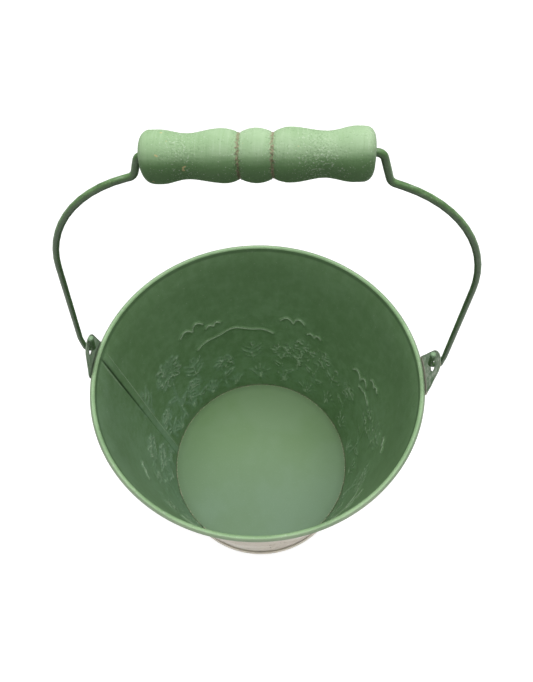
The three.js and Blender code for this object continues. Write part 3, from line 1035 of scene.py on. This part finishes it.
def rim_paint():
    f = Finish("rim_paint")
    patch = f.noise(36, 4, 0.6)
    grain = f.noise(480, 3)
    fine = f.noise(1500, 2)
    x, y, low = (f.along(k) for k in range(3))
    out = (x * x + y * y) ** 0.5 + (grain - 0.5) * 0.0006
    # darker and greyer along the outermost edge of the bead
    outer_edge_dark = f.between(out, rim_radius - 1.6 * MM, rim_radius - 0.8 * MM)
    # painted shade where the rim tucks in under itself
    under = f.between(low, rim_centre - 1.3 * MM, rim_centre - 0.3 * MM, 1, 0)
    green = f.coats(
        f.mix(f.between(patch, 0.35, 0.65), (130, 164, 118), (148, 181, 135)),
        (f.between(grain, 0.60, 0.74) * 0.5, (178, 198, 170)),
        (f.between(fine + patch * 0.3, 0.83, 0.90) * 0.6, (206, 208, 192)),
        (f.between(grain, 0.28, 0.38, 1, 0) * 0.4, (104, 136, 96)),
        (outer_edge_dark * 0.8, f.mix(patch, (92, 118, 88), (134, 140, 122))),
        # the painted shade under the rim's tuck
        (under * 0.8, (70, 92, 62)),
    )
    rough = 0.36 + 0.25 * grain
    return f.done(green, rough, f.bump(grain + fine * 0.4, 0.00015, 0.5), Specular_IOR_Level=0.5)


# %% [markdown]
# ## Paint on the outside
#
# The outside is an antique cream: off-white brushed round the pail, then a thin grey-brown wash wiped over
# it, which stays in every pressed line and under the rim. Painted shade darkens the wall low down, and a
# painted highlight makes the curl of the foot nearly white. The brush marks run round, so the noise is
# stretched in x and y and squeezed in z.

# %% Outside paint


def outside_paint():
    f = Finish("outside_paint")
    cloud = f.noise(15, 5, 0.6)
    brush = f.noise(520, 4, 0.65, stretch=(0.10, 0.10, 1))
    fine = f.noise(1300, 2, stretch=(0.3, 0.3, 1))
    speck = f.between(f.noise(420, 3, 0.5), 0.68, 0.74)
    low = f.along(2)
    line = f.mark("pressed")
    top = f.between(low, rim_centre - 0.016, rim_centre - 0.002, 0, 1)
    # painted shade low on the wall, towards the foot
    foot = f.between(low, 0.006, 0.050, 1, 0)
    wash = f.between(cloud + brush * 0.55, 0.62, 1.02)
    cream = f.coats(
        f.mix(wash, (228, 223, 209), (202, 192, 176)),
        (f.between(brush, 0.52, 0.72) * 0.45, (186, 176, 163)),
        (f.between(line + (fine - 0.5) * 0.4, 0.35, 0.9) * 0.72, (128, 116, 98)),
        # the wash under the rim, and the painted shade low on the wall
        ((top + foot) * 0.30, (158, 148, 130)),
        (speck * 0.5, (140, 124, 104)),
        # painted shade in the seam's slit on the outside
        (f.mark("painted_slit_shade"), (86, 78, 64)),
        # a painted highlight that makes the curl of the foot nearly white
        (f.between(low, 0.0010, 0.0040, 0.8, 0), (236, 232, 220)),
    )
    rough = 0.50 + 0.20 * brush
    relief = brush * 0.8 + fine * 0.3 + speck * -0.3
    return f.done(cream, rough, f.bump(relief, 0.00020, 0.6), Specular_IOR_Level=0.35)


for paint in (inside_paint(), rim_paint(), outside_paint()):
    wall_sheet.data.materials.append(paint)
band_paint = np.minimum(outline_paint, np.roll(outline_paint, -1))
band_paint[outline_paint == BEAD] = BEAD
face_paint = np.repeat(band_paint, len(columns)).astype(np.int32)
wall_sheet.data.polygons.foreach_set("material_index", face_paint)
print("bands of each paint:", np.bincount(band_paint))

# %% [markdown]
# ## Paint on the floor
#
# The floor was painted apart from the wall, a little lighter, and greyer at the front than at the back.
# Painted shade darkens it near the wall, and a thin broken line of pale dust lies in the corner.

# %% Floor paint


def floor_paint():
    f = Finish("floor_paint")
    x, y = f.along(0), f.along(1)
    out = (x * x + y * y) ** 0.5
    cloud = f.noise(18, 4, 0.55)
    fine = f.noise(800, 3)
    edge = f.between(out + (fine - 0.5) * 0.0022, corner_r - 0.0006, corner_r + 0.0007)
    near = f.mix(f.between(cloud, 0.36, 0.66), (108, 140, 102), (116, 146, 115))
    far = f.mix(f.between(cloud, 0.36, 0.66), (117, 151, 99), (125, 156, 112))
    green = f.coats(
        f.mix(f.between(y, -0.06, 0.06), near, far),
        (f.between(fine, 0.56, 0.72) * 0.15, (150, 174, 146)),
        # painted shade in the corner next to the wall
        (f.between(out, corner_r - 0.007, corner_r) * 0.30, (92, 120, 84)),
        (edge * f.between(fine, 0.42, 0.62, 0.1, 0.9), (178, 176, 150)),
    )
    rough = 0.44 + 0.16 * cloud
    return f.done(green, rough, f.bump(fine * 0.4 + cloud, 0.00012, 0.5), Specular_IOR_Level=0.45)


floor_pan.data.materials.append(floor_paint())

# %% [markdown]
# ## Paint on the ears
#
# The ears got the same green and then a whitish wash that dried in blotches. The right ear is paler than
# the left, and a painted highlight lightens it at its root just above the rim. Their cut edges and the rim
# of the hole are darker, where the bail has rubbed and the wash ran off.

# %% Ear paint


def ear_paint():
    f = Finish("ear_paint")
    blotch = f.noise(210, 4, 0.65)
    cloud = f.noise(70, 3)
    fine = f.noise(1400, 2)
    edge = f.mark("edge")
    side, low = (f.along(k) for k in (0, 2))
    # the right ear is paler than the left
    wash = f.between(blotch + (fine - 0.5) * 0.3, 0.42, 0.66) * f.between(side, -0.05, 0.05, 0.35, 0.9)
    # a painted highlight at the right ear's root, just above the rim
    root = f.between(low, rim_centre + 0.5 * MM, rim_centre + 3 * MM, 1, 0)
    green = f.coats(
        f.mix(f.between(cloud, 0.38, 0.62), (120, 144, 116), (142, 162, 138)),
        (wash, (192, 200, 186)),
        (f.between(blotch, 0.30, 0.42, 1, 0) * 0.35, (88, 112, 82)),
        (f.between(edge + (fine - 0.5) * 0.5, 0.45, 0.95) * 0.6, (84, 102, 76)),
        # the painted highlight at the right ear's root
        (root * f.between(side, -0.05, 0.05) * 0.8, (214, 204, 192)),
        (f.between(fine + cloud * 0.3, 0.84, 0.9) * 0.7, (150, 128, 104)),
    )
    rough = 0.46 + 0.25 * blotch
    return f.done(green, rough, f.bump(blotch + fine * 0.4, 0.00022, 0.6), Specular_IOR_Level=0.4)


ear_finish = ear_paint()
for ear in (right_ear, left_ear):
    ear.data.materials.append(ear_finish)

# %% [markdown]
# ## Paint on the bail
#
# A darker green, dipped and then handled: rubbed light along the wire in short streaks, and thick and
# bright on the drops at the two cut ends. Painted shade darkens the side that faces down and forwards.
# The streaks follow the wire because the noise reads the distance along it.

# %% Bail paint


def bail_paint():
    f = Finish("bail_paint")
    run = f.mark("along")
    at = f.node("CombineXYZ", None, {0: run * 0.22, 1: f.along(1)})
    streak = f.noise(900, 3, 0.6, at=at)
    patch = f.noise(60, 4, at=f.node("CombineXYZ", None, {0: run}))
    fine = f.noise(1500, 2)
    green = f.coats(
        f.mix(f.between(patch, 0.36, 0.66), (88, 124, 74), (114, 152, 98)),
        (f.between(streak, 0.54, 0.70) * 0.6, (150, 176, 142)),
        (f.between(streak, 0.30, 0.46, 1, 0) * 0.65, (50, 74, 44)),
        (f.between(fine, 0.66, 0.72) * 0.5, (182, 186, 166)),
        # painted shade on the side of the wire that faces down and forwards
        (f.between(f.mark("painted_shade_side"), -0.2, 0.8) * 0.6, (46, 68, 38)),
        (f.mark("drop"), (132, 166, 126)),
    )
    rough = 0.34 + 0.22 * patch
    return f.done(green, rough, f.bump(streak + fine * 0.3, 0.00018, 0.6), Specular_IOR_Level=0.5)


bail.data.materials.append(bail_paint())

# %% [markdown]
# ## Paint on the wooden grip
#
# Wood drinks the paint, so the grip is dry and matt. The lathe left fine rings round it, which show as
# streaks, so the noise here is squeezed along the grip. Sanding after painting took the colour off high
# places in small white flecks, mostly where hands hold it and near the grooves and the ends, and a few
# chips go down to the tan wood. Painted shade makes the side that faces down and forwards a deeper green.
# The grooves hold reddish-brown dust.

# %% Grip paint


def grip_paint():
    f = Finish("grip_paint")
    rings = f.noise(620, 4, 0.65, stretch=(1, 0.09, 0.09))
    grain = f.noise(420, 3, stretch=(0.07, 1, 1))
    cloud = f.noise(48, 4, 0.6)
    fleck = f.noise(1500, 3, 0.55)
    groove, corner = f.mark("groove"), f.mark("corner")
    handled = f.mark("handled")
    chip = f.noise(480, 1, 0.4, stretch=(0.6, 1, 1))
    worn = f.between(cloud, 0.45, 0.68) * 0.5 + handled + groove * 0.6 + corner * 0.6
    # painted shade on the side of the grip that faces down and forwards
    under = f.between(f.mark("painted_shade_side") + (cloud - 0.5) * 0.7 + (grain - 0.5) * 0.5, -0.30, 0.62)
    dust = f.between(groove * 0.8 + (fleck - 0.5) * 1.8, 0.42, 0.85)
    green = f.coats(
        f.mix(f.between(cloud, 0.36, 0.66), (150, 182, 137), (168, 196, 156)),
        (f.between(rings, 0.48, 0.72) * 0.30, (190, 212, 180)),
        (f.between(rings, 0.28, 0.46, 1, 0) * 0.25, (118, 152, 104)),
        # the deeper green of the painted shade
        (under * 0.9, (88, 130, 72)),
        (f.between(fleck + worn * 0.08, 0.65, 0.75) * 0.5, (204, 218, 196)),
        (f.between(fleck - worn * 0.08, 0.27, 0.36, 1, 0) * 0.35, (82, 110, 72)),
        (f.between(chip, 0.76, 0.78) * 0.8, (206, 188, 132)),
        (dust * 0.7, (142, 116, 96)),
    )
    rough = 0.58 + 0.22 * rings
    relief = rings * 0.5 + grain * 0.4 + fleck * (0.3 + handled * 1.1)
    return f.done(green, rough, f.bump(relief, 0.00030, 0.7), Specular_IOR_Level=0.3)


grip.data.materials.append(grip_paint())

# %% [markdown]
# ## Steel inside the rim
#
# The wire that the rim is rolled over stays as the frame has it, because almost none of it can be seen. It
# is bare drawn steel with some rust.

# %% Rim steel


def rim_steel():
    f = Finish("rim_steel")
    rust = f.noise(260, 4)
    drawn = f.noise(1200, 2, stretch=(1, 1, 0.2))
    colour = f.mix(f.between(rust, 0.5, 0.65), (150, 150, 146), (112, 78, 54))
    metal = f.between(rust, 0.5, 0.65, 1, 0.1)
    f.feed(f.shader.inputs["Metallic"], metal)
    return f.done(colour, 0.35 + 0.4 * rust, f.bump(drawn + rust, 0.00008, 0.5))


rim_wire = frame["nodes"]["rim_wire"]
rim_wire.data.materials.clear()
rim_wire.data.materials.append(rim_steel())

# %% [markdown]
# ## Floor, light and camera
#
# A pale floor, a soft sky that is brighter overhead and one large soft lamp above the pail and a little
# behind it, as in a small studio tent. Four low lamps stand round the pail and reach only its wall and its
# ears, so that the outside isn't lost in the dark. The camera looks down into the pail from above its
# front edge, close enough that the near grip looms large.

# %% Studio floor, lamps and sky
FLOOR_SIZE, FLOOR_DROP = 8, 0.0004
FLOOR_GLOW = 0.80
FLOOR_GREYS = 169.62, 173.39  # as on a paint chart
SKY_LOW, SKY_HIGH = 0.14, 0.62
TOP_LAMP_AT, TOP_LAMP_WATTS = (0.05, 0.24, 1.70), 21
SKIRT_LAMPS, SKIRT_AWAY, SKIRT_HEIGHT, SKIRT_WATTS = 4, 1.2, 0.04, 6.0


def studio_floor():
    """A floor that glows white where it is seen. It adds no diffuse light to the pail."""
    bpy.ops.mesh.primitive_plane_add(size=FLOOR_SIZE, location=(0, 0, -FLOOR_DROP))
    floor = bpy.context.object
    floor.name = "studio_floor"
    f = Finish("studio_white")
    cloud = f.noise(3, 2)
    pale = f.mix(cloud, *((grey, grey, grey) for grey in FLOOR_GREYS))
    f.shader.inputs["Emission Color"].default_value = (1, 1, 1, 1)
    floor.data.materials.append(f.done(pale, 0.9, Emission_Strength=FLOOR_GLOW))
    floor.visible_diffuse = False
    floor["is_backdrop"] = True


def lamp(name, place, target, size, watts, only=()):
    """A square soft lamp aimed at a point. It may be kept to a few pieces, as a lamp with a shade is."""
    light = bpy.data.lights.new(name, "AREA")
    light.size = size
    light.energy = watts
    holder = bpy.data.objects.new(name, light)
    holder.location = place
    holder.rotation_euler = (Vector(target) - Vector(place)).to_track_quat("-Z", "Y").to_euler()
    bpy.context.scene.collection.objects.link(holder)
    if only:
        holder.light_linking.receiver_collection = bpy.data.collections.new(name + "_reach")
        for piece in only:
            holder.light_linking.receiver_collection.objects.link(piece)


def studio_sky():
    """Soft light from above that fades towards the ground. Seen directly, the studio is plain white."""
    f = Finish("studio_sky", "worlds")
    upwards = f.node("SeparateXYZ", None, {0: f.node("TexCoord", out="Generated")}, 2)
    light = f.between(upwards, -0.05, 0.95, SKY_LOW, SKY_HIGH)
    seen = f.node("LightPath", out="Is Camera Ray")
    f.feed(f.shader.inputs["Strength"], light + seen * (1.0 - light))
    f.shader.inputs["Color"].default_value = (1, 1, 1, 1)
    bpy.context.scene.world = f.material


studio_floor()
studio_sky()
lamp("top_lamp", TOP_LAMP_AT, (0, 0, 0.1), 1.2, TOP_LAMP_WATTS)
for k in range(SKIRT_LAMPS):
    way = math.radians(360 * k / SKIRT_LAMPS + 45)
    skirt_at = (SKIRT_AWAY * math.cos(way), SKIRT_AWAY * math.sin(way), SKIRT_HEIGHT)
    lamp(f"skirt_lamp_{k}", skirt_at, (0, 0, 0.08), 0.6, SKIRT_WATTS, [wall_sheet, right_ear, left_ear])
bpy.context.scene.view_settings.view_transform = "Standard"

# %% Camera
CAMERA_AT = Vector((0.01447, -0.14716, 0.4455))
CAMERA_LOOKS = Vector((-0.0331, 0.5406, -0.8407)).normalized()
CAMERA_ROLL = math.radians(-0.28)
LENS = 25.87

lens = bpy.data.cameras.new("camera")
lens.lens = LENS
lens.sensor_width = 36
lens.clip_start = 0.005
camera = bpy.data.objects.new("camera", lens)
right = CAMERA_LOOKS.cross(Vector((0, 0, 1))).normalized()
up = right.cross(CAMERA_LOOKS)
level = Matrix((right, up, -CAMERA_LOOKS)).transposed()
rolled = level @ Matrix.Rotation(CAMERA_ROLL, 3, "Z")
camera.matrix_world = Matrix.Translation(CAMERA_AT) @ rolled.to_4x4()
bpy.context.scene.collection.objects.link(camera)
bpy.context.scene.camera = camera
away = (CAMERA_AT - Vector((0, 0, rim_top))).length / MM
print("the camera is", round(away), "mm from the rim's middle")

# %% [markdown]
# ## Last checks
#
# The looks may not change the size of the pail, so both boxes are measured and the change in size is
# printed before the scene is finished.

# %% Finish
bpy.context.view_layer.update()
boxes = {"cad": [list(c) for c in cad_box], "visual": [list(c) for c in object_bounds()]}
print("size change in millimetres:", [[round((v - c) / MM, 2) for v, c in zip(*pair)]
                                      for pair in zip(boxes["visual"], boxes["cad"])])
